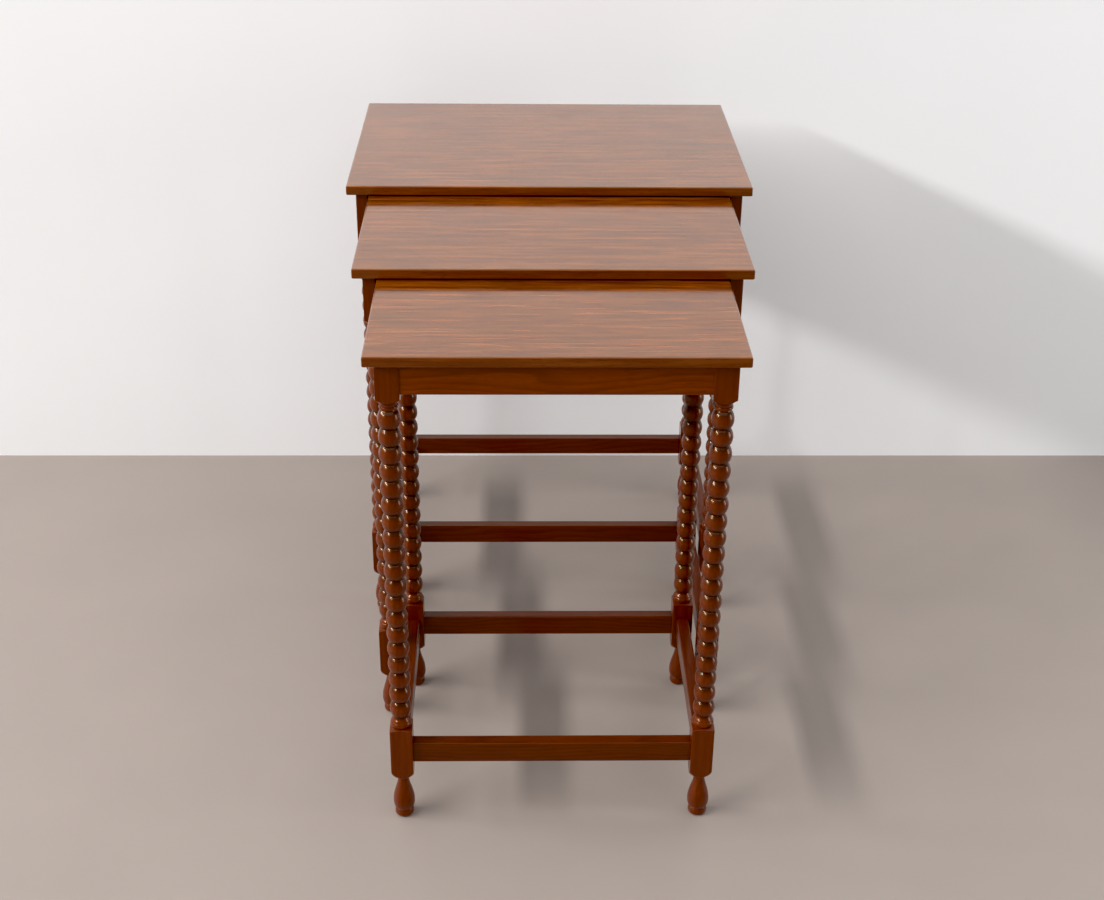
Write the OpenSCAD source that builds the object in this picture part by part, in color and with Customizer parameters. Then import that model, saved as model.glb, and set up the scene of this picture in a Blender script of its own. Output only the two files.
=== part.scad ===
// Nest of three tables with bobbin-turned legs, drawn out like steps.
// +Z up, +Y towards the back, millimetres. The origin is on the floor under
// the middle of the whole set.

/* [Large table] */
// Height of the large table's top surface above the floor
large_height = 640; // [620:1:680]
// Distance between its leg centres across the width
large_span_x = 462; // [420:1:520]
// Distance between its leg centres from front to back
large_span_y = 318.5; // [300:0.5:360]

/* [Nesting] */
// How much the leg spacing across the width shrinks from one table to the next
step_x = 55; // [54:0.5:58]
// How much the leg spacing from front to back shrinks from one table to the next
step_y = 27.5; // [27.5:0.5:32]
// How far each top lies below the next larger one
step_z = 13.5; // [13:0.1:14]
// How far the medium table is drawn out of the large one
medium_pull = 243.5; // [235:0.5:262]
// How far the small table is drawn out of the medium one
small_pull = 205.5; // [200:0.5:240]

/* [Top] */
// Thickness of each top
top_t = 12; // [11:0.1:12.5]
// Overhang of each top past the outer faces of the legs
overhang = 10.9; // [10.5:0.1:11.9]
// Radius of the rounded upper edge
top_edge_r = 2; // [1:0.5:6]
// Radius of the softened lower edge
top_under_r = 2; // [1:0.5:4]

/* [Legs] */
// Side of the square leg stock
leg_w = 26.2; // [26:0.1:26.6]
// Height of the lower end of the lower block's corners
lower_block_z0 = 76; // [74:0.5:78]
// Height of the upper end of the lower block's corners
lower_block_z1 = 128.5; // [127:0.5:130]
// Height of the lower end of the upper block's corners
upper_block_z = 559; // [557:0.5:561]
// Number of turned bobbins on a leg
bobbins = 19; // [17:1:21]
// Largest radius of a bobbin
bobbin_r = 12.6; // [12:0.1:12.9]
// Radius of the arc that a bobbin's outline follows
bobbin_arc = 17; // [14:0.5:20]
// Largest radius of the turned foot
foot_r = 12.8; // [11.5:0.05:12.95]
// Smallest radius of the foot's neck
neck_r = 6.2; // [5.8:0.05:8]

/* [Rails and stretchers] */
// Height of the rails' lower edge above the floor
rail_z = 564.5; // [562:0.5:570]
// Thickness of the side rails
side_rail_t = 16; // [15:0.5:18]
// Thickness of the front and back rails
end_rail_t = 13; // [12:0.5:13]
// Set-back of the rails from the legs' outer faces
rail_setback = 1.5; // [1:0.1:2]
// Thickness of the stretchers
stretcher_t = 15.7; // [14:0.1:18]
// Height of the stretchers' lower edge above the floor
stretcher_z = 82; // [80:0.5:88]
// Depth of a stretcher from its lower to its upper edge
stretcher_h = 27; // [22:0.5:30]

/* [Joinery] */
// Thickness of the tenons
tenon_t = 6; // [5:0.5:6]
// Length of the rails' tenons
rail_tenon = 12; // [10:0.5:12]
// Length of the stretchers' tenons
stretcher_tenon = 9; // [7:0.5:9]
// Gap all round a tenon or a dowel in its hole
joint_gap = 0.05; // [0.03:0.01:0.1]
// Diameter of the dowels that hold the tops
dowel_d = 6; // [5:0.5:6]
// Depth of the slide grooves below each larger top
groove_h = 14.5; // [14.4:0.1:15]

/* [Hidden] */
$fn = 96;

left = -1;
right = 1;
front = -1;
back = 1;

half = leg_w / 2;
edge = half + overhang;            // from a leg's centre to the edge of the top
groove_in = 1.5;                   // the groove stops this far inside the leg's centre line
tenon_off = 1.5;                   // side-rail tenon, from the leg's centre outwards
end_tenon_off = 3;                 // the same for front and back rails
dowel_off = 5.5;                   // dowels, from the leg's centre line outwards
end_dowel_off = 4.5;               // the same on front and back rails
dowel_up = 8;                      // a dowel's length inside the top
dowel_down = 12;                   // and inside the leg or rail
dowel_end_gap = 1;                 // empty end of a dowel hole
tenon_below_top = 16.5;            // from the top's underside to the rails' tenons
rail_tenon_inset = 5;              // from the rails' lower edge to their tenons
stretcher_shoulder = 4;            // tenon set in from the stretcher's upper and lower edge
arris_r = 2;                       // eased upper edges of the stretchers
core_r = 7.8;                      // radius in the narrow grooves between bobbins
heart_r = 5.5;                     // radius of the core that runs through the foot
shoulder_r = half * sqrt(2) + 0.3; // just past the corners of the square stock

// One table: [leg spacing across, leg spacing front to back, height of its top surface,
// y of its front legs, whether a smaller table slides into it]
overall_y = small_pull + medium_pull + large_span_y + 2 * edge;
small_y = -overall_y / 2 + edge;
medium_y = small_y + small_pull;
large_y = medium_y + medium_pull;
large = [large_span_x, large_span_y, large_height, large_y, true];
medium = [large_span_x - step_x, large_span_y - step_y, large_height - step_z, medium_y, true];
small = [
    large_span_x - 2 * step_x, large_span_y - 2 * step_y, large_height - 2 * step_z, small_y, false
];

function half_x(table) = table[0] / 2;
function span_y(table) = table[1];
function under_z(table) = table[2] - top_t;
function front_y(table) = table[3];
function back_y(table) = table[3] + table[1];
function is_host(table) = table[4];
function leg_y(table, end) = end == front ? front_y(table) : back_y(table);

// Outline points from radius a at height z0 to radius b at height z1: a smooth S
function s_curve(a, b, z0, z1, n) =
    [for (i = [0:n]) [a + (b - a) * (1 - cos(180 * i / n)) / 2, z0 + (z1 - z0) * i / n]];

// The same ends, but a rounded shoulder that starts level and ends upright
function shoulder(a, b, z0, z1, n) =
    [for (i = [0:n]) [a + (b - a) * sin(90 * i / n), z0 + (z1 - z0) * (1 - cos(90 * i / n))]];

// The same ends, but a flare that starts upright and opens out
function flare(a, b, z0, z1, n) =
    [for (i = [0:n]) [a + (b - a) * (1 - cos(90 * i / n)), z0 + (z1 - z0) * i / n]];

function reversed(points) = [for (i = [len(points) - 1:-1:0]) points[i]];

// ---------- Turned legs ----------

// Outline of a bead of radius r, bounded by an arc about the height peak
module bead(z0, h, r, arc, peak) {
    intersection() {
        translate([r - arc, peak]) circle(arc);
        translate([0, z0]) square([r, h]);
    }
}

// The foot: a round pad, a vase, a neck and the rounded lower end of the lower block
module foot_outline() {
    pad_r = 11.2;
    pad_peak = 4.5;
    notch_r = 9.8;
    notch_z = 11;
    bulb_z = 21;
    neck_z = 57.5;
    translate([0, 1]) square([heart_r, lower_block_z0]);
    polygon(concat(
        [[0, 0]],
        shoulder(7, pad_r, 0, pad_peak, 6),
        reversed(shoulder(notch_r, pad_r, notch_z, pad_peak, 6)),
        shoulder(notch_r, foot_r, notch_z, bulb_z, 6),
        s_curve(foot_r, neck_r, bulb_z, neck_z, 12),
        shoulder(neck_r, shoulder_r, neck_z + 1, lower_block_z0, 9),
        [[0, lower_block_z0]]
    ));
}

// The lower block's domed upper end, the collar, the row of bobbins and the flare above it
module turning_outline() {
    collar_z = lower_block_z1 + 4.5;
    collar_h = 6;
    first_z = lower_block_z1 + 17.2;
    last_z = upper_block_z - 17;
    pitch = (last_z - first_z) / bobbins;
    translate([0, lower_block_z0]) square([core_r, upper_block_z + 1 - lower_block_z0]);
    translate([0, lower_block_z0]) square([shoulder_r, lower_block_z1 - lower_block_z0]);
    polygon(concat(
        [[0, lower_block_z1]],
        s_curve(shoulder_r, 9.4, lower_block_z1, collar_z, 6),
        [[0, collar_z]]
    ));
    bead(collar_z, collar_h, 12.7, 5, collar_z + 3);
    polygon(concat(
        [[0, collar_z + collar_h]],
        s_curve(11.5, 8.6, collar_z + collar_h, first_z, 6),
        [[0, first_z]]
    ));
    for (i = [0:bobbins - 1])
        bead(first_z + pitch * i, pitch, bobbin_r, bobbin_arc, first_z + pitch * (i + 0.5));
    bead(last_z + 2.6, 3, 10.4, 3, last_z + 4.1);
    polygon(concat(
        [[0, last_z + 3]],
        flare(9.2, shoulder_r, last_z + 3, upper_block_z, 9),
        [[0, upper_block_z]]
    ));
}

// Square stock turned between its two blocks
module turned_stock(h) {
    intersection() {
        rotate_extrude() {
            foot_outline();
            turning_outline();
            translate([0, upper_block_z]) square([shoulder_r, h - upper_block_z]);
        }
        translate([-half, -half, 0]) cube([leg_w, leg_w, h]);
    }
}

// One leg. side is left or right, end is front or back
module leg(table, side, end) {
    top_z = under_z(table);
    ends = is_host(table) && end == front ? [] : [1];
    translate([side * half_x(table), leg_y(table, end), 0])
        color("#5a2b10")
        scale([side, end, 1])
        difference() {
            turned_stock(top_z);
            // seen from here, +X is outwards and +Y is away from the middle of the table
            tenon_hole([tenon_off, -half, 0], [tenon_t, rail_tenon], rail_heights(table));
            tenon_hole([0, -half, 0], [tenon_t, stretcher_tenon], stretcher_heights);
            for (i = ends) {
                side_hole([-half, end_tenon_off, 0], [rail_tenon, tenon_t], rail_heights(table));
                side_hole([-half, 0, 0], [stretcher_tenon, tenon_t], stretcher_heights);
            }
            if (is_host(table)) leg_groove(top_z, end);
            translate([dowel_off, 0, top_z - dowel_down - dowel_end_gap])
                cylinder(d = dowel_d + 2 * joint_gap, h = dowel_down + dowel_end_gap + 1);
        }
}

// The slide groove: right through a front leg, up to the back rail in a back leg
module leg_groove(top_z, end) {
    reach = end == front ? leg_w + 2 : half - rail_setback - end_rail_t + half + 1;
    translate([-half - 1, -half - 1, top_z - groove_h])
        cube([half + 1 - groove_in, reach, groove_h + 1]);
}

// Heights [bottom, top] of the tenons
stretcher_heights = [
    stretcher_z + stretcher_shoulder, stretcher_z + stretcher_h - stretcher_shoulder
];
function rail_heights(table) = [rail_z + rail_tenon_inset, under_z(table) - tenon_below_top];

// A mortise that opens towards -Y, centred on at.x
module tenon_hole(at, size, heights) {
    g = joint_gap;
    translate([at.x - size.x / 2 - g, at.y - 1, heights[0] - g])
        cube([size.x + 2 * g, size.y + 1 + g, heights[1] - heights[0] + 2 * g]);
}

// A mortise that opens towards -X, centred on at.y
module side_hole(at, size, heights) {
    g = joint_gap;
    translate([at.x - 1, at.y - size.y / 2 - g, heights[0] - g])
        cube([size.x + 1 + g, size.y + 2 * g, heights[1] - heights[0] + 2 * g]);
}

// ---------- Rails and stretchers ----------

// A side rail, with the slide groove in its inner face on the two larger tables
module side_rail(table, side) {
    top_z = under_z(table);
    y0 = front_y(table) + half;
    len = span_y(table) - leg_w;
    outer = half - rail_setback;
    translate([side * half_x(table), 0, 0]) color("#54270e") scale([side, 1, 1]) {
        difference() {
            translate([outer - side_rail_t, y0, rail_z])
                cube([side_rail_t, len, top_z - rail_z]);
            if (is_host(table))
                translate([outer - side_rail_t - 1, y0 - 1, top_z - groove_h])
                    cube([side_rail_t - outer + 1 - groove_in, len + 2, groove_h + 1]);
            translate([dowel_off, y0 + len / 2, top_z - dowel_down - dowel_end_gap])
                cylinder(d = dowel_d + 2 * joint_gap, h = dowel_down + dowel_end_gap + 1);
        }
        translate([tenon_off - tenon_t / 2, y0 - rail_tenon, rail_heights(table)[0]])
            cube([tenon_t, len + 2 * rail_tenon, rail_heights(table)[1] - rail_heights(table)[0]]);
    }
}

// A front or back rail
module end_rail(table, end) {
    top_z = under_z(table);
    len = 2 * half_x(table) - leg_w;
    outer = half - rail_setback;
    heights = rail_heights(table);
    translate([0, leg_y(table, end), 0]) color("#5e2c0f") scale([1, end, 1]) {
        difference() {
            translate([-len / 2, outer - end_rail_t, rail_z])
                cube([len, end_rail_t, top_z - rail_z]);
            translate([0, end_dowel_off, top_z - dowel_down - dowel_end_gap])
                cylinder(d = dowel_d + 2 * joint_gap, h = dowel_down + dowel_end_gap + 1);
        }
        translate([-len / 2 - rail_tenon, end_tenon_off - tenon_t / 2, heights[0]])
            cube([len + 2 * rail_tenon, tenon_t, heights[1] - heights[0]]);
    }
}

// A stretcher of the given length along X, centred, with both tenons
module stretcher(len) {
    h = stretcher_h;
    t = stretcher_t;
    rotate([90, 0, 90])
        translate([0, 0, -len / 2])
        linear_extrude(len) {
            translate([-t / 2, 0]) square([t, h - arris_r]);
            translate([-t / 2 + arris_r, 0]) square([t - 2 * arris_r, h]);
            for (s = [left, right]) translate([s * (t / 2 - arris_r), h - arris_r]) circle(arris_r);
        }
    translate([-len / 2 - stretcher_tenon, -tenon_t / 2, stretcher_shoulder])
        cube([len + 2 * stretcher_tenon, tenon_t, h - 2 * stretcher_shoulder]);
}

module side_stretcher(table, side) {
    translate([side * half_x(table), front_y(table) + span_y(table) / 2, stretcher_z])
        color("#54270e") rotate([0, 0, 90]) stretcher(span_y(table) - leg_w);
}

module end_stretcher(table, end) {
    translate([0, leg_y(table, end), stretcher_z])
        color("#5e2c0f") stretcher(2 * half_x(table) - leg_w);
}

// ---------- Tops and dowels ----------

// Cross-section of a top: a board with a round upper edge and a softened lower edge
module top_section(width) {
    module corner(side, r, y) { translate([side * (width / 2 - r), y]) circle(r); }
    translate([-width / 2, top_under_r]) square([width, top_t - top_under_r - top_edge_r]);
    translate([-width / 2 + top_under_r, 0]) square([width - 2 * top_under_r, top_under_r]);
    translate([-width / 2 + top_edge_r, top_t - top_edge_r])
        square([width - 2 * top_edge_r, top_edge_r]);
    for (side = [left, right]) {
        corner(side, top_edge_r, top_t - top_edge_r);
        corner(side, top_under_r, top_under_r);
    }
}

module table_top(table) {
    width = 2 * (half_x(table) + edge);
    depth = span_y(table) + 2 * edge;
    color("#8a5a3c") difference() {
        translate([0, front_y(table) + span_y(table) / 2, under_z(table)]) intersection() {
            rotate([90, 0, 0]) translate([0, 0, -depth]) linear_extrude(2 * depth)
                top_section(width);
            rotate([90, 0, 90]) translate([0, 0, -width]) linear_extrude(2 * width)
                top_section(depth);
        }
        for (at = dowel_places(table))
            translate([at.x, at.y, under_z(table) - 1])
                cylinder(d = dowel_d + 2 * joint_gap, h = dowel_up + dowel_end_gap + 1);
    }
}

// A dowel over each leg and over the middle of each rail
function dowel_places(table) = concat(
    [for (side = [left, right], y = [front_y(table), front_y(table) + span_y(table) / 2, back_y(table)])
        [side * (half_x(table) + dowel_off), y]],
    [[0, back_y(table) + end_dowel_off]],
    is_host(table) ? [] : [[0, front_y(table) - end_dowel_off]]
);

module dowels(table) {
    for (at = dowel_places(table))
        translate([at.x, at.y, under_z(table) - dowel_down])
            color("#c79a62") cylinder(d = dowel_d, h = dowel_down + dowel_up);
}

// ---------- Nodes ----------

table_top(large);  // large_top
leg(large, left, front);  // large_leg_front_left
leg(large, right, front);  // large_leg_front_right
leg(large, left, back);  // large_leg_back_left
leg(large, right, back);  // large_leg_back_right
side_rail(large, left);  // large_rail_left
side_rail(large, right);  // large_rail_right
end_rail(large, back);  // large_rail_back
side_stretcher(large, left);  // large_stretcher_left
side_stretcher(large, right);  // large_stretcher_right
end_stretcher(large, back);  // large_stretcher_back
dowels(large);  // large_dowels

table_top(medium);  // medium_top
leg(medium, left, front);  // medium_leg_front_left
leg(medium, right, front);  // medium_leg_front_right
leg(medium, left, back);  // medium_leg_back_left
leg(medium, right, back);  // medium_leg_back_right
side_rail(medium, left);  // medium_rail_left
side_rail(medium, right);  // medium_rail_right
end_rail(medium, back);  // medium_rail_back
side_stretcher(medium, left);  // medium_stretcher_left
side_stretcher(medium, right);  // medium_stretcher_right
end_stretcher(medium, back);  // medium_stretcher_back
dowels(medium);  // medium_dowels

table_top(small);  // small_top
leg(small, left, front);  // small_leg_front_left
leg(small, right, front);  // small_leg_front_right
leg(small, left, back);  // small_leg_back_left
leg(small, right, back);  // small_leg_back_right
side_rail(small, left);  // small_rail_left
side_rail(small, right);  // small_rail_right
end_rail(small, front);  // small_rail_front
end_rail(small, back);  // small_rail_back
side_stretcher(small, left);  // small_stretcher_left
side_stretcher(small, right);  // small_stretcher_right
end_stretcher(small, front);  // small_stretcher_front
end_stretcher(small, back);  // small_stretcher_back
dowels(small);  // small_dowels
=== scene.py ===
import math

import bmesh
import bpy
from mathutils import Matrix, Vector


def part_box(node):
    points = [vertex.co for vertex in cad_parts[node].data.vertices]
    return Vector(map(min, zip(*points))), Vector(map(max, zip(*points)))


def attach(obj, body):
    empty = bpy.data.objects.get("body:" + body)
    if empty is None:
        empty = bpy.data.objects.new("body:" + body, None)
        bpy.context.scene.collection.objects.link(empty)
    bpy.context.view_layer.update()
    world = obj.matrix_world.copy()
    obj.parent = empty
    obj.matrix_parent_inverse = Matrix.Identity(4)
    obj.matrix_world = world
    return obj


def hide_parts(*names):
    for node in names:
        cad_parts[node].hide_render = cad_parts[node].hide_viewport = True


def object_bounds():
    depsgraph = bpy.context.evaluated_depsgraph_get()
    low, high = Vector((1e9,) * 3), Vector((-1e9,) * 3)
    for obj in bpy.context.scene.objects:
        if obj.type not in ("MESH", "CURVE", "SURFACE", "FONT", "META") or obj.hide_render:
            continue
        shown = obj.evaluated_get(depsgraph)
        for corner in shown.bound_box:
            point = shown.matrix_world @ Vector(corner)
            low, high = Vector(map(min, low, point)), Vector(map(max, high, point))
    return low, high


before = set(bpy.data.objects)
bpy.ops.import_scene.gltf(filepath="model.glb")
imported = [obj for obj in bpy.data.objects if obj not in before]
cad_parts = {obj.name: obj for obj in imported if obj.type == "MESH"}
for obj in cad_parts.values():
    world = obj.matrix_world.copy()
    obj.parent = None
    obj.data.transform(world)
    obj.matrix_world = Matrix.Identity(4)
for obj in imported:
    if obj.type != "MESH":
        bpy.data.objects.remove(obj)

cadLow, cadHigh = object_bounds()
mm = 0.001
tables = ("large", "medium", "small")
grooved = ("large", "medium")          # the tables that carry the next one's top
bodyOf = {table: table + "_table" for table in tables}
print("frame loaded:", len(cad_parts), "nodes")


def addNode(tree, kind, place=(0, 0), **settings):
    node = tree.nodes.new(kind)
    node.location = place
    for key, value in settings.items():
        setattr(node, key, value)
    return node


def plug(tree, value, socket):
    # a socket is linked, anything else becomes the socket's own value
    if isinstance(value, bpy.types.NodeSocket):
        tree.links.new(value, socket)
    else:
        socket.default_value = value


def calc(tree, operation, *values):
    node = addNode(tree, "ShaderNodeMath", operation=operation)
    for value, socket in zip(values, node.inputs):
        plug(tree, value, socket)
    return node.outputs[0]


def remap(tree, value, low, high):
    # 0 at low, 1 at high, with a smooth rise between them
    node = addNode(tree, "ShaderNodeMapRange", interpolation_type="SMOOTHSTEP")
    for given, socket in zip((value, low, high), node.inputs):
        plug(tree, given, socket)
    return node.outputs[0]


def mixColour(tree, share, first, second):
    node = addNode(tree, "ShaderNodeMix", data_type="RGBA")
    plug(tree, share, node.inputs["Factor"])
    plug(tree, first, node.inputs[6])
    plug(tree, second, node.inputs[7])
    return node.outputs[2]


def makeSockets(tree, inputs, outputs):
    for name, kind, value in inputs:
        socket = tree.interface.new_socket(name, in_out="INPUT", socket_type="NodeSocket" + kind)
        if value is not None:
            socket.default_value = value
    for name, kind in outputs:
        tree.interface.new_socket(name, in_out="OUTPUT", socket_type="NodeSocket" + kind)


def buildWoodGrain():
    # grain runs along X; rings are wide arcs round a pith line that lies outside the board
    tree = bpy.data.node_groups.new("woodGrain", "ShaderNodeTree")
    makeSockets(tree, (
        ("Vector", "Vector", None), ("Ring Spacing", "Float", 0.004), ("Sway", "Float", 0.006),
        ("Pith Across", "Float", 0.06), ("Pith Below", "Float", 0.08), ("Pore Length", "Float", 0.008),
    ), (
        ("Rings", "Float"), ("Fibres", "Float"), ("Pores", "Float"), ("Clouds", "Float"), ("Height", "Float"),
    ))
    given = addNode(tree, "NodeGroupInput", (-1400, 0)).outputs
    result = addNode(tree, "NodeGroupOutput", (900, 0)).inputs

    def stretched(scaleAlong, scaleAcross, detail, place, roughness=0.5, lift=0.0):
        mapping = addNode(tree, "ShaderNodeMapping", place)
        mapping.inputs["Scale"].default_value = (scaleAlong, scaleAcross, scaleAcross)
        mapping.inputs["Location"].default_value = (lift, lift * 1.7, lift * 0.6)
        tree.links.new(given["Vector"], mapping.inputs["Vector"])
        noise = addNode(tree, "ShaderNodeTexNoise", (place[0] + 200, place[1]))
        noise.inputs["Scale"].default_value = 1.0
        noise.inputs["Detail"].default_value = detail
        noise.inputs["Roughness"].default_value = roughness
        tree.links.new(mapping.outputs[0], noise.inputs["Vector"])
        return noise.outputs[0]

    split = addNode(tree, "ShaderNodeSeparateXYZ", (-1100, 300))
    tree.links.new(given["Vector"], split.inputs[0])
    wander = calc(tree, "SUBTRACT", stretched(4.0, 14.0, 2.0, (-1100, 600)), 0.5)
    drift = calc(tree, "MULTIPLY", wander, given["Sway"])
    across = calc(tree, "ADD", split.outputs[1], given["Pith Across"])
    depth = calc(tree, "ADD", split.outputs[2], given["Pith Below"])
    distance = calc(tree, "SQRT", calc(tree, "ADD", calc(tree, "MULTIPLY", across, across),
                                       calc(tree, "MULTIPLY", depth, depth)))
    rough = calc(tree, "MULTIPLY", stretched(22.0, 420.0, 2.0, (-1100, 900)), 0.0012)
    phase = calc(tree, "DIVIDE", calc(tree, "ADD", calc(tree, "ADD", distance, drift), rough),
                 given["Ring Spacing"])
    turn = calc(tree, "FRACT", phase)
    lateWood = calc(tree, "MULTIPLY", remap(tree, turn, 0.25, 0.92), remap(tree, turn, 1.0, 0.93))
    plug(tree, lateWood, result["Rings"])

    fine = stretched(24.0, 430.0, 2.0, (-1100, -100), 0.5, 3.1)
    broad = stretched(8.0, 170.0, 1.0, (-1100, -350), 0.5, 7.7)
    fibres = calc(tree, "ADD", calc(tree, "MULTIPLY", fine, 0.55), calc(tree, "MULTIPLY", broad, 0.45))
    plug(tree, fibres, result["Fibres"])

    along = calc(tree, "DIVIDE", 0.8, given["Pore Length"])
    poreScale = addNode(tree, "ShaderNodeCombineXYZ", (-1000, -600))
    plug(tree, along, poreScale.inputs[0])
    poreScale.inputs[1].default_value = 950.0
    poreScale.inputs[2].default_value = 950.0
    poreVector = addNode(tree, "ShaderNodeVectorMath", (-800, -600), operation="MULTIPLY")
    tree.links.new(given["Vector"], poreVector.inputs[0])
    tree.links.new(poreScale.outputs[0], poreVector.inputs[1])
    specks = addNode(tree, "ShaderNodeTexNoise", (-600, -600))
    specks.inputs["Scale"].default_value = 1.0
    specks.inputs["Detail"].default_value = 1.0
    tree.links.new(poreVector.outputs[0], specks.inputs["Vector"])
    pores = remap(tree, specks.outputs[0], 0.6, 0.7)
    plug(tree, pores, result["Pores"])

    blotches = stretched(9.0, 85.0, 3.0, (-1100, -850), 0.55, 11.3)
    plug(tree, remap(tree, blotches, 0.42, 0.72), result["Clouds"])
    height = calc(tree, "SUBTRACT", calc(tree, "MULTIPLY", broad, 0.4), calc(tree, "MULTIPLY", pores, 0.12))
    plug(tree, height, result["Height"])
    return tree


def buildVarnishFilm():
    # an old, well rubbed gloss varnish: slow waves, a dull bloom here and there, faint rubbing marks
    tree = bpy.data.node_groups.new("varnishFilm", "ShaderNodeTree")
    makeSockets(tree, (("Vector", "Vector", None), ("Bloom", "Float", 0.08)),
                (("Dullness", "Float"), ("Waves", "Float")))
    given = addNode(tree, "NodeGroupInput", (-600, 0)).outputs
    result = addNode(tree, "NodeGroupOutput", (600, 0)).inputs

    def noiseAt(scale, detail, place):
        noise = addNode(tree, "ShaderNodeTexNoise", place)
        noise.inputs["Scale"].default_value = scale
        noise.inputs["Detail"].default_value = detail
        tree.links.new(given["Vector"], noise.inputs["Vector"])
        return noise.outputs[0]

    bloom = remap(tree, noiseAt(16.0, 4.0, (-400, 200)), 0.42, 0.68)
    rubbed = remap(tree, noiseAt(120.0, 2.0, (-400, 0)), 0.4, 0.75)
    dull = calc(tree, "MULTIPLY", calc(tree, "ADD", bloom, calc(tree, "MULTIPLY", rubbed, 0.4)), given["Bloom"])
    plug(tree, dull, result["Dullness"])
    plug(tree, noiseAt(45.0, 1.0, (-400, -200)), result["Waves"])
    return tree


woodGrain = buildWoodGrain()
varnishFilm = buildVarnishFilm()

grainTurn = {                      # turns the object's axes so that the grain direction is X
    "x": (0, 0, 0),
    "y": (0, 0, math.radians(-90)),
    "z": (0, math.radians(90), 0),
}

topLook = {
    "grain": "x", "light": (0.280, 0.074, 0.005, 1), "dark": (0.075, 0.013, 0.001, 1),
    "line": (0.045, 0.007, 0.001, 1), "cloud": (0.08, 0.024, 0.007, 1), "ior": 1.9,
    "ringSpacing": 11 * mm, "sway": 16 * mm, "pithAcross": 0.9, "pithBelow": 0.12, "poreLength": 8 * mm,
    "rings": 0.3, "fibres": 0.9, "pores": 0.5, "clouds": 0.6,
    "roughness": 0.16, "coat": 0.8, "coatRoughness": 0.10, "bump": 0.03, "shift": (0.31, 0.12, 0.05),
}
# the edge faces: a darker copy of the top's wood with less coat; the darker colour is painted shade on the
# edges
shadedTopEdgeLook = dict(topLook, light=(0.165, 0.041, 0.005, 1), dark=(0.085, 0.016, 0.002, 1),
                   line=(0.045, 0.006, 0.0005, 1), cloud=(0.12, 0.024, 0.002, 1), fibres=0.6,
                   roughness=0.3, coat=0.5, ior=1.42)
endRailLook = {
    "grain": "x", "light": (0.18, 0.030, 0.002, 1), "dark": (0.105, 0.012, 0.001, 1),
    "line": (0.045, 0.006, 0.0005, 1), "cloud": (0.15, 0.028, 0.003, 1),
    "ringSpacing": 4.5 * mm, "sway": 30 * mm, "pithAcross": 0.05, "pithBelow": -0.62, "poreLength": 10 * mm,
    "rings": 0.4, "fibres": 0.5, "pores": 0.35, "clouds": 0.4,
    "roughness": 0.33, "coat": 0.45, "coatRoughness": 0.16, "bump": 0.05, "shift": (0.05, 0.4, 0.0),
}
sideRailLook = dict(endRailLook, grain="y", shift=(0.7, 0.1, 0.02))
crossBarLook = dict(endRailLook, light=(0.105, 0.017, 0.001, 1), dark=(0.062, 0.007, 0.0006, 1),
                    line=(0.035, 0.004, 0.0004, 1), cloud=(0.09, 0.012, 0.001, 1), shift=(0.5, 0.3, 0.2))
sideBarLook = dict(crossBarLook, grain="y", shift=(0.2, 0.6, 0.1))
legLook = {
    "grain": "z", "light": (0.126, 0.020, 0.002, 1), "dark": (0.074, 0.009, 0.001, 1),
    "line": (0.05, 0.005, 0.0005, 1), "cloud": (0.105, 0.015, 0.001, 1),
    "ringSpacing": 4.5 * mm, "sway": 14 * mm, "pithAcross": 0.5, "pithBelow": 0.33, "poreLength": 7 * mm,
    "rings": 0.25, "fibres": 0.5, "pores": 0.3, "clouds": 0.5,
    "roughness": 0.32, "coat": 0.42, "coatRoughness": 0.12, "bump": 0.06, "shift": (0.2, 0.9, 0.4),
}
# the colour for the creases of the turned legs is painted shade, with some stain
varnish = {"coatIor": 1.45, "ior": 1.42, "specularTint": (1.0, 0.45, 0.12, 1), "bloom": 0.07,
           "creaseShadeAndStain": (0.030, 0.005, 0.001, 1)}


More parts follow.
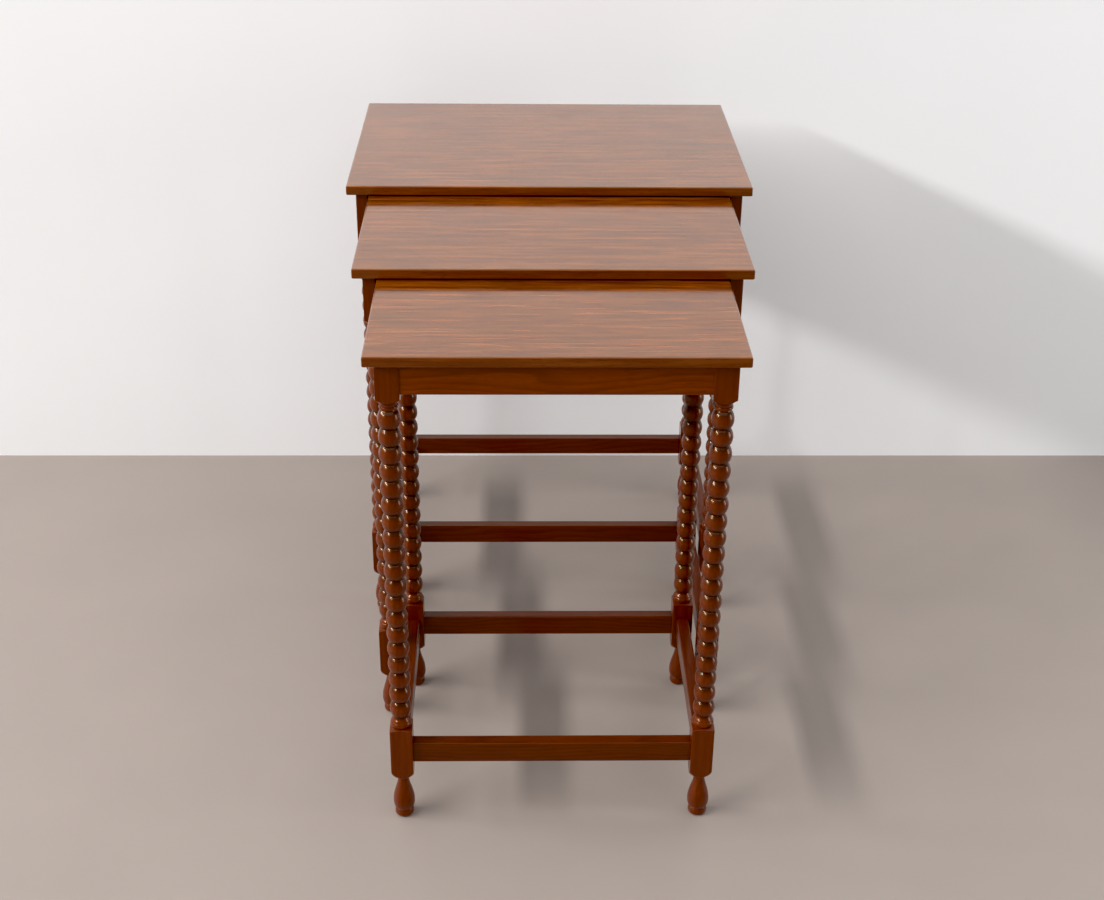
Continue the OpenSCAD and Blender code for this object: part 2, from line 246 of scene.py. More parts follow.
def makeWood(name, look, hollow=False):
    material = bpy.data.materials.new(name)
    material.use_nodes = True
    tree = material.node_tree
    tree.nodes.clear()
    output = addNode(tree, "ShaderNodeOutputMaterial", (900, 0))
    shader = addNode(tree, "ShaderNodeBsdfPrincipled", (600, 0))
    tree.links.new(shader.outputs[0], output.inputs[0])
    place = addNode(tree, "ShaderNodeTexCoord", (-900, 0)).outputs["Object"]
    turn = addNode(tree, "ShaderNodeMapping", (-700, 0))
    turn.inputs["Rotation"].default_value = grainTurn[look["grain"]]
    turn.inputs["Location"].default_value = look["shift"]
    tree.links.new(place, turn.inputs["Vector"])

    grain = addNode(tree, "ShaderNodeGroup", (-450, 100), node_tree=woodGrain)
    tree.links.new(turn.outputs[0], grain.inputs["Vector"])
    for socket, key in (("Ring Spacing", "ringSpacing"), ("Sway", "sway"), ("Pith Across", "pithAcross"),
                        ("Pith Below", "pithBelow"), ("Pore Length", "poreLength")):
        grain.inputs[socket].default_value = look[key]

    fibres = remap(tree, grain.outputs["Fibres"], 0.36, 0.64)
    colour = mixColour(tree, calc(tree, "MULTIPLY", fibres, look["fibres"]), look["light"], look["dark"])
    for mask, amount, tint in (("Clouds", "clouds", "cloud"), ("Rings", "rings", "line"),
                               ("Pores", "pores", "line")):
        share = calc(tree, "MULTIPLY", grain.outputs[mask], look[amount])
        colour = mixColour(tree, share, colour, look[tint])
    # the colour darkens towards a near-black brown in the turned hollows: painted shade, with some stain
    if hollow:
        depth = addNode(tree, "ShaderNodeAttribute", (-450, -400), attribute_name="hollow").outputs["Fac"]
        colour = mixColour(tree, depth, colour, varnish["creaseShadeAndStain"])
    plug(tree, colour, shader.inputs["Base Color"])

    film = addNode(tree, "ShaderNodeGroup", (-450, -200), node_tree=varnishFilm)
    tree.links.new(place, film.inputs["Vector"])
    film.inputs["Bloom"].default_value = varnish["bloom"]
    plug(tree, calc(tree, "ADD", film.outputs["Dullness"], look["roughness"]), shader.inputs["Roughness"])

    bump = addNode(tree, "ShaderNodeBump", (300, -300))
    bump.inputs["Distance"].default_value = look["bump"] * mm
    plug(tree, calc(tree, "ADD", grain.outputs["Height"], calc(tree, "MULTIPLY", film.outputs["Waves"], 1.5)),
         bump.inputs["Height"])
    tree.links.new(bump.outputs[0], shader.inputs["Normal"])
    shader.inputs["IOR"].default_value = look.get("ior", varnish["ior"])
    shader.inputs["Specular Tint"].default_value = varnish["specularTint"]
    shader.inputs["Coat Weight"].default_value = look["coat"]
    shader.inputs["Coat Roughness"].default_value = look["coatRoughness"]
    shader.inputs["Coat IOR"].default_value = varnish["coatIor"]
    return material


topWood = makeWood("polishedTopWood", topLook)
shadedTopEdgeWood = makeWood("shadedTopEdgeWood", shadedTopEdgeLook)
endRailWood = makeWood("crossRailWood", endRailLook)
sideRailWood = makeWood("sideRailWood", sideRailLook)
crossBarWood = makeWood("crossStretcherWood", crossBarLook)
sideBarWood = makeWood("sideStretcherWood", sideBarLook)
legWood = makeWood("turnedLegWood", legLook, hollow=True)


dowelLook = {"pale": (0.56, 0.40, 0.23, 1), "dark": (0.40, 0.26, 0.13, 1)}


def makeBareWood():
    # unpolished birch, only on the hidden dowels
    material = bpy.data.materials.new("bareDowelWood")
    material.use_nodes = True
    tree = material.node_tree
    shader = tree.nodes["Principled BSDF"]
    place = addNode(tree, "ShaderNodeTexCoord", (-900, 0)).outputs["Object"]
    turn = addNode(tree, "ShaderNodeMapping", (-700, 0))
    turn.inputs["Rotation"].default_value = grainTurn["z"]
    tree.links.new(place, turn.inputs["Vector"])
    grain = addNode(tree, "ShaderNodeGroup", (-450, 100), node_tree=woodGrain)
    tree.links.new(turn.outputs[0], grain.inputs["Vector"])
    plug(tree, mixColour(tree, grain.outputs["Fibres"], dowelLook["pale"], dowelLook["dark"]),
         shader.inputs["Base Color"])
    shader.inputs["Roughness"].default_value = 0.7
    bump = addNode(tree, "ShaderNodeBump", (-200, -300))
    bump.inputs["Distance"].default_value = 0.1 * mm
    plug(tree, grain.outputs["Height"], bump.inputs["Height"])
    tree.links.new(bump.outputs[0], shader.inputs["Normal"])
    return material


bareWood = makeBareWood()
print("materials made")


leg = {
    "bobbins": 19, "steps": 12,
    "firstBobbin": 145.7 * mm, "lastBobbin": 542 * mm,
    "bobbinRadius": 12.6 * mm, "bobbinArc": 17 * mm, "core": 7.8 * mm,
    "wobble": 0.12 * mm,       # hand turning: no two bobbins are quite the same
    "cornerPower": 40.0, "sideSteps": 18, "soften": 0.5 * mm,
    # the crease and cove darkening below is painted shade, with some stain
    "crease": (0.0122, 0.0093),    # radii between which a crease darkens
    "cove": (0.0098, 0.0078),      # the same for the hollows above and below the bobbins
    "footTop": 0.07,               # nothing darkens below this height
    "mergeWithin": 0.00002,
}
slot = {
    "height": 14.5 * mm,       # a slot under a top, in which the next top's edge runs
    "past": 1.5 * mm,          # the slot stops this far inward of the leg's centre line
    "back": 1.4 * mm,          # on a back leg it stops this far in front of the centre line
}


def bead(z0, z1, radius, arc, steps):
    # the points of a bead: an arc whose crest stands halfway up
    points = []
    for i in range(steps + 1):
        z = z0 + (z1 - z0) * (1 - math.cos(math.pi * i / steps)) / 2
        points.append((radius - arc + math.sqrt(arc * arc - (z - (z0 + z1) / 2) ** 2), z))
    return points


def outlinePart(kind, r0, r1, z0, z1, steps):
    # the points of one part of the outline: a smooth S, a rounded shoulder or an opening flare
    points = []
    for i in range(steps + 1):
        quarter = math.pi / 2 * i / steps
        if kind == "s":
            out, up = (1 - math.cos(2 * quarter)) / 2, i / steps
        elif kind == "shoulder":
            out, up = math.sin(quarter), 1 - math.cos(quarter)
        else:
            out, up = 1 - math.cos(quarter), i / steps
        points.append((r0 + (r1 - r0) * out, z0 + (z1 - z0) * up))
    return points


def footOutline(shoulder):
    # from the floor up to where the bobbins start, in millimetres
    points = [(0, 0)]
    points += outlinePart("shoulder", 7, 11.2, 0, 4.5, 8)
    points += outlinePart("shoulder", 9.8, 11.2, 11, 4.5, 8)[-2::-1]
    points += outlinePart("shoulder", 9.8, 12.8, 11, 21, 10)[1:]
    points += outlinePart("s", 12.8, 6.2, 21, 57.5, 20)[1:]
    points += outlinePart("shoulder", 6.2, shoulder, 58.5, 76, 24)
    points += [(shoulder, 76.6), (shoulder, 102), (shoulder, 127.9)]
    points += outlinePart("s", shoulder, 9.4, 128.5, 133, 16)
    points += bead(133, 139, 12.7, 5, 14)
    points += outlinePart("s", 11.5, 8.6, 139.1, 145.7, 10)
    return points


def headOutline(shoulder, height):
    # from the last bobbin up to the top's underside, in millimetres
    points = [(8.6, 542), (8, 543), (8, 544.4)]
    points += bead(544.6, 547.6, 10.4, 3, 8)
    points += outlinePart("flare", 9.3, shoulder, 547.7, 559, 24)
    points += [(shoulder, 559.6), (shoulder, 585), (shoulder, height - 15.5), (shoulder, height - 0.6),
               (shoulder - 0.4, height), (0, height)]
    return points


def outlineMesh(points):
    mesh = bpy.data.meshes.new("legOutline")
    mesh.from_pydata([(r * mm, 0, z * mm) for r, z in points], [(i, i + 1) for i in range(len(points) - 1)], [])
    return mesh


def buildTurnedLeg():
    tree = bpy.data.node_groups.new("turnedLeg", "GeometryNodeTree")
    makeSockets(tree, (
        ("Geometry", "Geometry", None), ("Points", "Int", 100), ("Points Below", "Int", 50),
        ("Bobbins", "Int", leg["bobbins"]), ("Steps", "Int", leg["steps"]),
        ("First Bobbin", "Float", leg["firstBobbin"]), ("Last Bobbin", "Float", leg["lastBobbin"]),
        ("Bobbin Radius", "Float", leg["bobbinRadius"]), ("Bobbin Arc", "Float", leg["bobbinArc"]),
        ("Core", "Float", leg["core"]), ("Wobble", "Float", leg["wobble"]), ("Stock", "Float", 26.2 * mm),
        ("Corner Power", "Float", leg["cornerPower"]), ("Side Steps", "Int", leg["sideSteps"]),
        ("Soften", "Float", leg["soften"]),
        ("Seed", "Int", 1), ("Centre", "Vector", (0, 0, 0)), ("Slot Place", "Vector", (0, 0, 0)),
        ("Slot Size", "Vector", (0, 0, 0)), ("Has Slot", "Bool", False), ("Wood", "Material", None),
    ), (("Geometry", "Geometry"),))
    given = addNode(tree, "NodeGroupInput", (-2200, 0)).outputs
    result = addNode(tree, "NodeGroupOutput", (2200, 0)).inputs

    bobbinRows = calc(tree, "SUBTRACT", calc(tree, "MULTIPLY", given["Bobbins"], given["Steps"]), 1.0)
    rows = calc(tree, "ADD", given["Points"], bobbinRows)
    columns = calc(tree, "ADD", calc(tree, "MULTIPLY", given["Side Steps"], 4.0), 1.0)
    grid = addNode(tree, "GeometryNodeMeshGrid", (-1600, 400))
    plug(tree, columns, grid.inputs["Vertices X"])
    plug(tree, rows, grid.inputs["Vertices Y"])

    index = addNode(tree, "GeometryNodeInputIndex", (-1600, 0)).outputs[0]
    column = calc(tree, "FLOOR", calc(tree, "DIVIDE", calc(tree, "ADD", index, 0.5), rows))
    row = calc(tree, "SUBTRACT", index, calc(tree, "MULTIPLY", column, rows))

    # rows below and above the bobbins read the outline's own points
    past = calc(tree, "SUBTRACT", row, calc(tree, "ADD", given["Points Below"], bobbinRows))
    isAbove = calc(tree, "GREATER_THAN", past, -0.5)
    isBelow = calc(tree, "LESS_THAN", row, calc(tree, "SUBTRACT", given["Points Below"], 0.5))
    outlineRow = calc(tree, "ADD", calc(tree, "MULTIPLY", isBelow, row),
                      calc(tree, "MULTIPLY", isAbove, calc(tree, "ADD", past, given["Points Below"])))
    sample = addNode(tree, "GeometryNodeSampleIndex", (-900, 300), data_type="FLOAT_VECTOR", domain="POINT")
    position = addNode(tree, "GeometryNodeInputPosition", (-1200, 200)).outputs[0]
    tree.links.new(given["Geometry"], sample.inputs["Geometry"])
    plug(tree, position, sample.inputs["Value"])
    plug(tree, calc(tree, "ROUND", outlineRow), sample.inputs["Index"])
    outline = addNode(tree, "ShaderNodeSeparateXYZ", (-700, 300))
    tree.links.new(sample.outputs[0], outline.inputs[0])

    # the rows between them are bobbins: one arc after another
    stepsPast = calc(tree, "ADD", calc(tree, "SUBTRACT", row, given["Points Below"]), 1.0)
    turns = calc(tree, "DIVIDE", stepsPast, given["Steps"])
    number = calc(tree, "FLOOR", calc(tree, "ADD", turns, 0.001))
    evenShare = calc(tree, "SUBTRACT", turns, number)
    # rows crowd towards the creases
    share = calc(tree, "SUBTRACT", 0.5, calc(tree, "MULTIPLY", 0.5, calc(
        tree, "COSINE", calc(tree, "MULTIPLY", evenShare, math.pi))))
    share = calc(tree, "ADD", calc(tree, "MULTIPLY", share, 0.5), calc(tree, "MULTIPLY", evenShare, 0.5))
    pitch = calc(tree, "DIVIDE", calc(tree, "SUBTRACT", given["Last Bobbin"], given["First Bobbin"]),
                 given["Bobbins"])
    bobbinZ = calc(tree, "ADD", given["First Bobbin"], calc(tree, "MULTIPLY", pitch,
                                                            calc(tree, "ADD", number, share)))
    fromCrest = calc(tree, "MULTIPLY", calc(tree, "SUBTRACT", share, 0.5), pitch)
    rise = calc(tree, "SQRT", calc(tree, "SUBTRACT", calc(tree, "POWER", given["Bobbin Arc"], 2.0),
                                   calc(tree, "POWER", calc(tree, "ABSOLUTE", fromCrest), 2.0)))
    uneven = addNode(tree, "FunctionNodeRandomValue", (-900, -600), data_type="FLOAT")
    plug(tree, calc(tree, "MULTIPLY", given["Wobble"], -2.0), uneven.inputs[2])
    uneven.inputs[3].default_value = 0.0
    plug(tree, number, uneven.inputs["ID"])
    plug(tree, given["Seed"], uneven.inputs["Seed"])
    crest = calc(tree, "ADD", given["Bobbin Radius"], uneven.outputs[1])
    bobbinR = calc(tree, "MAXIMUM", given["Core"], calc(tree, "ADD", calc(
        tree, "SUBTRACT", crest, given["Bobbin Arc"]), rise))

    isOutline = calc(tree, "MAXIMUM", isAbove, isBelow)
    isBobbin = calc(tree, "SUBTRACT", 1.0, isOutline)
    turnedR = calc(tree, "ADD", calc(tree, "MULTIPLY", isOutline, outline.outputs[0]),
                   calc(tree, "MULTIPLY", isBobbin, bobbinR))
    z = calc(tree, "ADD", calc(tree, "MULTIPLY", isOutline, outline.outputs[2]),
             calc(tree, "MULTIPLY", isBobbin, bobbinZ))

    # columns crowd towards the four corners, and the square stock limits the turning
    sides = calc(tree, "DIVIDE", column, given["Side Steps"])
    side = calc(tree, "FLOOR", calc(tree, "ADD", sides, 0.001))
    offset = calc(tree, "SUBTRACT", calc(tree, "MULTIPLY", calc(tree, "SUBTRACT", sides, side), 2.0), 1.0)
    angle = calc(tree, "ADD", calc(tree, "MULTIPLY", side, math.pi / 2),
                 calc(tree, "ARCTANGENT", calc(tree, "SINE", calc(tree, "MULTIPLY", offset, math.pi / 2))))
    cosine = calc(tree, "COSINE", angle)
    sine = calc(tree, "SINE", angle)
    spread = calc(tree, "ADD", calc(tree, "POWER", calc(tree, "ABSOLUTE", cosine), given["Corner Power"]),
                  calc(tree, "POWER", calc(tree, "ABSOLUTE", sine), given["Corner Power"]))
    square = calc(tree, "DIVIDE", calc(tree, "MULTIPLY", given["Stock"], 0.5), calc(
        tree, "POWER", spread, calc(tree, "DIVIDE", 1.0, given["Corner Power"])))
    radius = calc(tree, "SMOOTH_MIN", turnedR, square, given["Soften"])
    radius = calc(tree, "MULTIPLY", radius, calc(tree, "GREATER_THAN", turnedR, 0.00001))
    spot = addNode(tree, "ShaderNodeCombineXYZ", (400, 0))
    plug(tree, calc(tree, "MULTIPLY", radius, cosine), spot.inputs[0])
    plug(tree, calc(tree, "MULTIPLY", radius, sine), spot.inputs[1])
    plug(tree, z, spot.inputs[2])

    placed = addNode(tree, "GeometryNodeSetPosition", (600, 200))
    tree.links.new(grid.outputs[0], placed.inputs["Geometry"])
    tree.links.new(spot.outputs[0], placed.inputs["Position"])
    # how deep a point lies in a turned hollow, 0 on crests and blocks; the colour paints shade, with some
    # stain, by it
    crease = calc(tree, "MULTIPLY", remap(tree, turnedR, *leg["crease"]), isBobbin)
    cove = calc(tree, "MULTIPLY", remap(tree, turnedR, *leg["cove"]), isOutline)
    depth = calc(tree, "MAXIMUM", crease, cove)
    isTurned = calc(tree, "GREATER_THAN", z, leg["footTop"])
    stored = addNode(tree, "GeometryNodeStoreNamedAttribute", (800, 200), data_type="FLOAT", domain="POINT")
    stored.inputs["Name"].default_value = "hollow"
    tree.links.new(placed.outputs[0], stored.inputs["Geometry"])
    plug(tree, calc(tree, "MULTIPLY", depth, isTurned), stored.inputs["Value"])
    merged = addNode(tree, "GeometryNodeMergeByDistance", (1000, 200))
    merged.inputs["Distance"].default_value = leg["mergeWithin"]
    tree.links.new(stored.outputs[0], merged.inputs["Geometry"])

    # the slot for the next table's top, on the legs that have one
    cutter = addNode(tree, "GeometryNodeMeshCube", (800, -300))
    tree.links.new(given["Slot Size"], cutter.inputs["Size"])
    moved = addNode(tree, "GeometryNodeTransform", (1000, -300))
    tree.links.new(cutter.outputs[0], moved.inputs["Geometry"])
    tree.links.new(given["Slot Place"], moved.inputs["Translation"])
    cut = addNode(tree, "GeometryNodeMeshBoolean", (1200, 0), operation="DIFFERENCE", solver="EXACT")
    tree.links.new(merged.outputs[0], cut.inputs["Mesh 1"])
    tree.links.new(moved.outputs[0], cut.inputs["Mesh 2"])
    chosen = addNode(tree, "GeometryNodeSwitch", (1400, 100), input_type="GEOMETRY")
    tree.links.new(given["Has Slot"], chosen.inputs["Switch"])
    tree.links.new(merged.outputs[0], chosen.inputs["False"])
    tree.links.new(cut.outputs["Mesh"], chosen.inputs["True"])
    standing = addNode(tree, "GeometryNodeTransform", (1600, 100))
    tree.links.new(chosen.outputs[0], standing.inputs["Geometry"])
    tree.links.new(given["Centre"], standing.inputs["Translation"])
    real = addNode(tree, "GeometryNodeRealizeInstances", (1800, 100))
    tree.links.new(standing.outputs[0], real.inputs["Geometry"])
    painted = addNode(tree, "GeometryNodeSetMaterial", (2000, 100))
    tree.links.new(real.outputs[0], painted.inputs["Geometry"])
    tree.links.new(given["Wood"], painted.inputs["Material"])
    tree.links.new(painted.outputs[0], result["Geometry"])
    return tree


def runTree(name, mesh, tree, values):
    # sets the modifier's inputs by identifier, evaluates once and keeps only the plain mesh
    holder = bpy.data.objects.new(name, mesh)
    bpy.context.scene.collection.objects.link(holder)
    modifier = holder.modifiers.new(name, "NODES")
    modifier.node_group = tree
    identifiers = {item.name: item.identifier for item in tree.interface.items_tree
                   if item.item_type == "SOCKET" and item.in_out == "INPUT"}
    for key, value in values.items():
        modifier[identifiers[key]] = value
    bpy.context.view_layer.update()
    made = bpy.data.meshes.new_from_object(holder.evaluated_get(bpy.context.evaluated_depsgraph_get()))
    holder.modifiers.remove(modifier)
    holder.data = made
    return holder


def smooth(mesh, angle=40):
    mesh.shade_smooth()
    mesh.set_sharp_from_angle(angle=math.radians(angle))


def makeLegs():
    tree = buildTurnedLeg()
    for table in tables:
        for count, corner in enumerate(("front_left", "front_right", "back_left", "back_right")):
            node = f"{table}_leg_{corner}"
            low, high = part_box(node)
            height = high.z - low.z
            stock = high.x - low.x
            shoulder = stock / mm / math.sqrt(2) + 0.3       # the turning radius that just clears the corners
            footPoints = footOutline(shoulder)
            points = footPoints + headOutline(shoulder, height / mm)
            centre = Vector(((low.x + high.x) / 2, (low.y + high.y) / 2, low.z))
            inward = 1 if corner.endswith("left") else -1
            reach = stock                                    # the cutter runs well past the leg's faces
            slotLow = Vector((inward * slot["past"], -reach, height - slot["height"]))
            slotHigh = Vector((inward * reach, reach, height + 10 * mm))
            if corner.startswith("back"):
                slotHigh.y = -slot["back"]
            size = Vector((abs(slotHigh.x - slotLow.x), slotHigh.y - slotLow.y, slotHigh.z - slotLow.z))
            piece = runTree("turned_" + node, outlineMesh(points), tree, {
                "Points": len(points), "Points Below": len(footPoints),
                "Bobbins": leg["bobbins"], "Steps": leg["steps"],
                "First Bobbin": leg["firstBobbin"], "Last Bobbin": leg["lastBobbin"],
                "Bobbin Radius": leg["bobbinRadius"], "Bobbin Arc": leg["bobbinArc"], "Core": leg["core"],
                "Wobble": leg["wobble"], "Stock": stock, "Corner Power": leg["cornerPower"],
                "Side Steps": leg["sideSteps"], "Soften": leg["soften"],
                "Seed": 10 * tables.index(table) + count, "Centre": centre,
                "Slot Place": (slotLow + slotHigh) / 2, "Slot Size": size,
                "Has Slot": table in grooved, "Wood": legWood,
            })
            smooth(piece.data)
            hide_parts(node)
            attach(piece, bodyOf[table])
    print("legs turned")


makeLegs()


top = {"upperEdge": 1.9 * mm, "lowerEdge": 2 * mm, "corner": 1.2 * mm, "steps": 8, "cornerSteps": 5,
       "support": 1.2 * mm, "edgeSlope": 0.75}


def roundedRectangle(low, high, inset, corner, steps):
    points = []
    for cornerX, cornerY, start in ((1, 1, 0), (-1, 1, 90), (-1, -1, 180), (1, -1, 270)):
        x = (high.x - inset - corner) if cornerX > 0 else (low.x + inset + corner)
        y = (high.y - inset - corner) if cornerY > 0 else (low.y + inset + corner)
        for i in range(steps + 1):
            angle = math.radians(start + 90 * i / steps)
            points.append((x + corner * math.cos(angle), y + corner * math.sin(angle)))
    return points


def boardSection(thickness, upper, lower, steps, support):
    # (inset, height) pairs round the edge, from the underside to the upper face
    section = [(lower + support, 0)]
    for i in range(steps + 1):
        angle = math.radians(90 * i / steps)
        section.append((lower * (1 - math.sin(angle)), lower * (1 - math.cos(angle))))
    section.append((0, lower + 0.4 * mm))
    section.append((0, thickness - upper - 0.4 * mm))
    for i in range(steps + 1):
        angle = math.radians(90 * i / steps)
        section.append((upper * (1 - math.cos(angle)), thickness - upper * (1 - math.sin(angle))))
    section.append((upper + support, thickness))
    return section


def meshObject(name, shape, material):
    mesh = bpy.data.meshes.new(name)
    bmesh.ops.recalc_face_normals(shape, faces=shape.faces[:])
    shape.to_mesh(mesh)
    shape.free()
    mesh.materials.append(material)
    smooth(mesh)
    piece = bpy.data.objects.new(name, mesh)
    bpy.context.scene.collection.objects.link(piece)
    return piece


def loftRings(shape, rings):
    # closed rings of the same number of points, capped at both ends
    loops = [[shape.verts.new(point) for point in ring] for ring in rings]
    for lower, upper in zip(loops, loops[1:]):
        for i in range(len(lower)):
            j = (i + 1) % len(lower)
            shape.faces.new((lower[i], lower[j], upper[j], upper[i]))
    shape.faces.new(loops[0][::-1])
    shape.faces.new(loops[-1])


def makeTops():
    for table in tables:
        node = table + "_top"
        low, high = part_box(node)
        section = boardSection(high.z - low.z, top["upperEdge"], top["lowerEdge"], top["steps"], top["support"])
        shape = bmesh.new()
        loftRings(shape, [[(x, y, low.z + height) for x, y in
                           roundedRectangle(low, high, inset, top["corner"], top["cornerSteps"])]
                          for inset, height in section])
        piece = meshObject("polished_" + node, shape, topWood)
        piece.data.materials.append(shadedTopEdgeWood)
        # steep faces take the darker edge wood: painted shade on the edges
        for face in piece.data.polygons:
            if abs(face.normal.z) < top["edgeSlope"]:
                face.material_index = 1
        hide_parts(node)
        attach(piece, bodyOf[table])
    print("tops made")


makeTops()


bar = {"railArris": 0.8 * mm, "stretcherArris": 1.6 * mm, "slotArris": 0.3 * mm, "steps": 5,
       "support": 0.4 * mm, "letIn": 0.5 * mm}


def easedSection(corners, steps, support):
    # corners are (u, v, radius) counter-clockwise; each becomes an arc with a point beside each end
    points = []
    for i, (u, v, radius) in enumerate(corners):
        before = Vector(corners[i - 1][:2])
        after = Vector(corners[(i + 1) % len(corners)][:2])
        here = Vector((u, v))
        inWay = (here - before).normalized()
        outWay = (after - here).normalized()
        if radius == 0:
            points.append(here)
            continue
        centre = here - inWay * radius + outWay * radius
        points.append(here - inWay * (radius + support))
        for k in range(steps + 1):
            angle = math.radians(90 * k / steps)
            points.append(centre - outWay * radius * math.cos(angle) + inWay * radius * math.sin(angle))
        points.append(here + outWay * (radius + support))
    return points


def boxCorners(u0, u1, v0, v1, lowRadius, highRadius):
    return [(u0, v0, lowRadius), (u1, v0, lowRadius), (u1, v1, highRadius), (u0, v1, highRadius)]


def slottedCorners(u0, u1, v0, v1, inner, radius, depth):
    # a side rail's section with the slot cut from its inner face; inner is -1 or 1
    step = v1 - slot["height"]
    if inner > 0:
        wall = u1 - depth
        return [(u0, v0, radius), (u1, v0, radius), (u1, step, bar["slotArris"]),
                (wall, step, 0), (wall, v1, 0), (u0, v1, 0)]
    wall = u0 + depth
    return [(u0, v0, radius), (u1, v0, radius), (u1, v1, 0),
            (wall, v1, 0), (wall, step, 0), (u0, step, bar["slotArris"])]


barWoods = {("rail", True): endRailWood, ("rail", False): sideRailWood,
            ("stretcher", True): crossBarWood, ("stretcher", False): sideBarWood}


def makeBar(node, table, alongX, arris, slotSide=0):
    low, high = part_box(node)
    legs = [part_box(f"{table}_leg_{corner}") for corner in ("front_left", "front_right", "back_left")]
    if alongX:
        start = legs[0][1].x - bar["letIn"]
        end = legs[1][0].x + bar["letIn"]
        u0, u1 = low.y, high.y
    else:
        start = legs[0][1].y - bar["letIn"]
        end = legs[2][0].y + bar["letIn"]
        u0, u1 = low.x, high.x
    if slotSide:
        # the slot reaches from the inner face to where it stops in the legs beside it
        besideLow, besideHigh = legs[0] if slotSide > 0 else legs[1]
        legMiddle = (besideLow.x + besideHigh.x) / 2
        depth = abs((u1 if slotSide > 0 else u0) - legMiddle) - slot["past"]
        corners = slottedCorners(u0, u1, low.z, high.z, slotSide, arris, depth)
    else:
        highRadius = 0 if "rail" in node else arris
        corners = boxCorners(u0, u1, low.z, high.z, arris, highRadius)
    section = easedSection(corners, bar["steps"], bar["support"])
    shape = bmesh.new()
    if alongX:
        rings = [[(along, p.x, p.y) for p in section] for along in (start, end)]
    else:
        rings = [[(p.x, along, p.y) for p in section] for along in (start, end)]
    loftRings(shape, rings)
    wood = barWoods["rail" if "rail" in node else "stretcher", alongX]
    piece = meshObject("shaped_" + node, shape, wood)
    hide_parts(node)
    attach(piece, bodyOf[table])


def makeBars():
    for table in tables:
        ends = ("front", "back") if table == "small" else ("back",)
        for end in ends:
            makeBar(f"{table}_rail_{end}", table, True, bar["railArris"])
            makeBar(f"{table}_stretcher_{end}", table, True, bar["stretcherArris"])
        for side, inner in (("left", 1), ("right", -1)):
            makeBar(f"{table}_rail_{side}", table, False, bar["railArris"], inner if table in grooved else 0)
            makeBar(f"{table}_stretcher_{side}", table, False, bar["stretcherArris"])
    print("rails and stretchers made")


makeBars()

for table in tables:
    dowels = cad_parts[table + "_dowels"]
    dowels.data.materials.clear()
    dowels.data.materials.append(bareWood)


room = {
    "floorSize": 9.0, "floorColour": (0.350, 0.297, 0.265, 1),
    "wallGap": 0.115,              # from the tables' back edge to the wall
    "wallHeight": 2.6, "wallWidth": 7.0, "wallColour": (0.93, 0.935, 0.945, 1),
    "world": (0.95, 0.97, 1.0, 1), "worldStrength": 0.26,
}


def makePlain(name, colour, roughness, speckle, oneSided=False):
    material = bpy.data.materials.new(name)
    material.use_nodes = True
    tree = material.node_tree
    shader = tree.nodes["Principled BSDF"]
    place = addNode(tree, "ShaderNodeTexCoord", (-900, 0)).outputs["Object"]
    clouds = addNode(tree, "ShaderNodeTexNoise", (-700, 0))
    clouds.inputs["Scale"].default_value = 5.0
    clouds.inputs["Detail"].default_value = 6.0
    tree.links.new(place, clouds.inputs["Vector"])
    darker = tuple(c * (1 - speckle) for c in colour[:3]) + (1,)
    plug(tree, mixColour(tree, clouds.outputs[0], colour, darker), shader.inputs["Base Color"])
    shader.inputs["Roughness"].default_value = roughness
    if oneSided:
        # seen from behind, the wall lets the view through
        clear = addNode(tree, "ShaderNodeBsdfTransparent", (200, 200))
        facing = addNode(tree, "ShaderNodeNewGeometry", (0, 300)).outputs["Backfacing"]
        mix = addNode(tree, "ShaderNodeMixShader", (400, 0))
        tree.links.new(facing, mix.inputs[0])
        tree.links.new(shader.outputs[0], mix.inputs[1])
        tree.links.new(clear.outputs[0], mix.inputs[2])
        tree.links.new(mix.outputs[0], tree.nodes["Material Output"].inputs[0])
    return material


def flatPiece(name, corners, material):
    mesh = bpy.data.meshes.new(name)
    mesh.from_pydata(corners, [], [tuple(range(len(corners)))])
    mesh.materials.append(material)
    piece = bpy.data.objects.new(name, mesh)
    bpy.context.scene.collection.objects.link(piece)


def makeRoom():
    reach = room["floorSize"] / 2
    floorMaterial = makePlain("paleFloor", room["floorColour"], 0.6, 0.12)
    flatPiece("floor", [(-reach, -reach, 0), (reach, -reach, 0), (reach, reach, 0), (-reach, reach, 0)],
              floorMaterial)
    wallMaterial = makePlain("whiteWall", room["wallColour"], 0.7, 0.03, oneSided=True)
    y = cadHigh.y + room["wallGap"]
    half = room["wallWidth"] / 2
    height = room["wallHeight"]
    flatPiece("wall", [(-half, y, 0), (half, y, 0), (half, y, height), (-half, y, height)], wallMaterial)


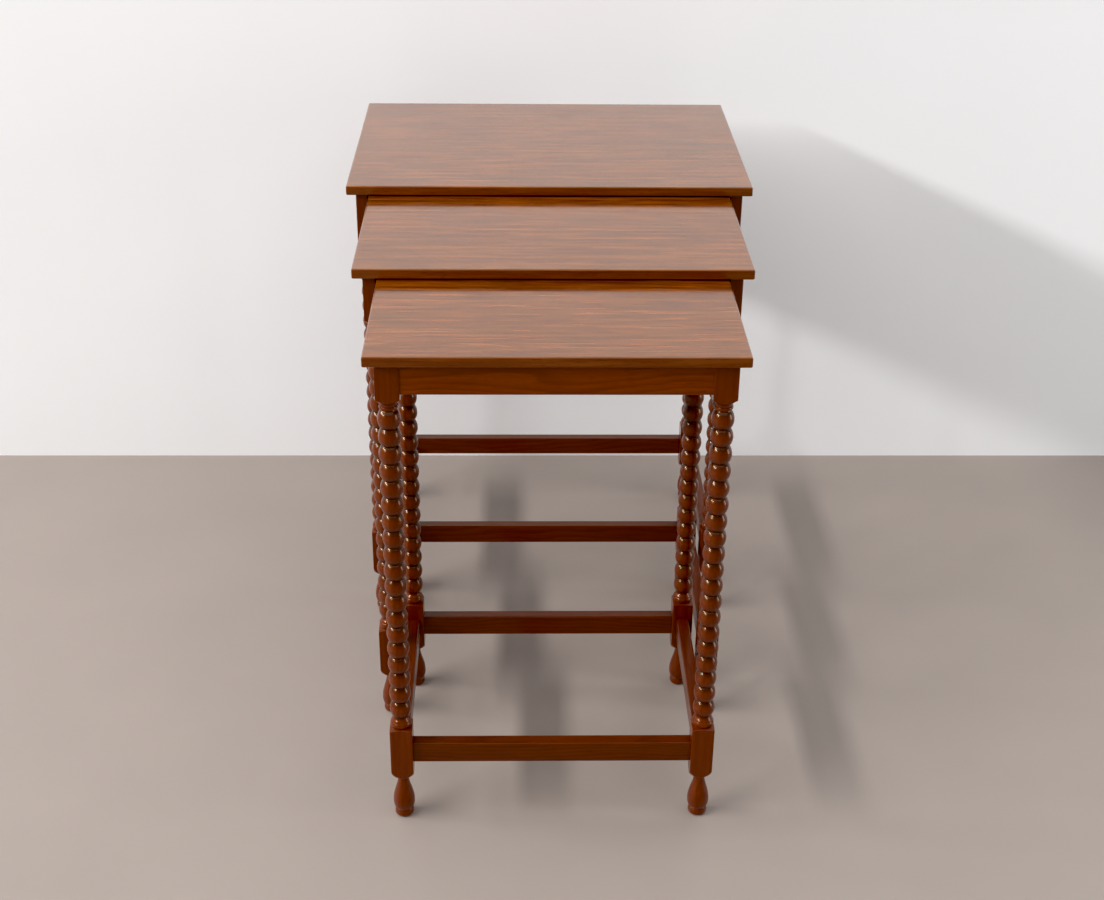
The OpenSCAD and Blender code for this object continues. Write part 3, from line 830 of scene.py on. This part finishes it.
lights = {
    # a long, narrow strip high on the left, a low window on the right and a soft ceiling;
    # each one shines away from its "from" direction, and "long" runs along its second edge
    "strip": {"at": (-7.2, -2.6, 3.73), "size": (0.5, 7.8), "power": 930, "colour": (1.0, 0.99, 0.98),
              "from": (-7.2, 0, 3.73), "long": (0, 1, 0)},
    "window": {"at": (3.4, -0.9, 0.35), "size": (1.5, 0.9), "power": 30, "colour": (0.95, 0.98, 1.0),
               "from": (3.4, -0.9, 0.35), "long": (0, 1, 0)},
    "ceiling": {"at": (0.0, -1.6, 2.5), "size": (5.0, 4.0), "power": 68, "colour": (1.0, 0.99, 0.98),
                "from": (0, 0, 1), "long": (0, 1, 0)},
}


def makeLights():
    world = bpy.data.worlds.new("studio")
    bpy.context.scene.world = world
    world.use_nodes = True
    background = world.node_tree.nodes["Background"]
    background.inputs[0].default_value = room["world"]
    background.inputs[1].default_value = room["worldStrength"]
    middle = (cadLow + cadHigh) / 2
    for name, values in lights.items():
        data = bpy.data.lights.new(name + "Light", "AREA")
        data.shape = "RECTANGLE"
        data.size, data.size_y = values["size"]
        data.energy = values["power"]
        data.color = values["colour"]
        light = bpy.data.objects.new(name + "Light", data)
        bpy.context.scene.collection.objects.link(light)
        back = Vector(values["from"]).normalized()
        across = Vector(values["long"]).cross(back).normalized()
        light.matrix_world = Matrix.Translation(middle + Vector(values["at"])) @ Matrix(
            (across, back.cross(across), back)).transposed().to_4x4()


cameraView = {"lens": 53.56, "pitch": 28.053, "yaw": 1.420, "roll": 0.676,
              "aside": -0.0423, "inFront": 1.5186, "height": 1.3160}


def makeCamera():
    data = bpy.data.cameras.new("camera")
    data.lens = cameraView["lens"]
    data.sensor_width = 36
    camera = bpy.data.objects.new("camera", data)
    bpy.context.scene.collection.objects.link(camera)
    place = Vector(((cadLow.x + cadHigh.x) / 2 + cameraView["aside"],
                    cadLow.y - cameraView["inFront"], cadLow.z + cameraView["height"]))
    turn = (Matrix.Rotation(math.radians(-cameraView["yaw"]), 4, "Z")
            @ Matrix.Rotation(math.radians(90 - cameraView["pitch"]), 4, "X")
            @ Matrix.Rotation(math.radians(cameraView["roll"]), 4, "Z"))
    camera.matrix_world = Matrix.Translation(place) @ turn
    bpy.context.scene.camera = camera


tone = {"black": 0.009}


def makeTone():
    # plain tones with slightly deepened shadows
    settings = bpy.context.scene.view_settings
    settings.view_transform = "Standard"
    settings.use_curve_mapping = True
    settings.curve_mapping.black_level = (tone["black"], tone["black"], tone["black"])
    settings.curve_mapping.update()


makeRoom()
makeLights()
makeCamera()
makeTone()
print("stage set")
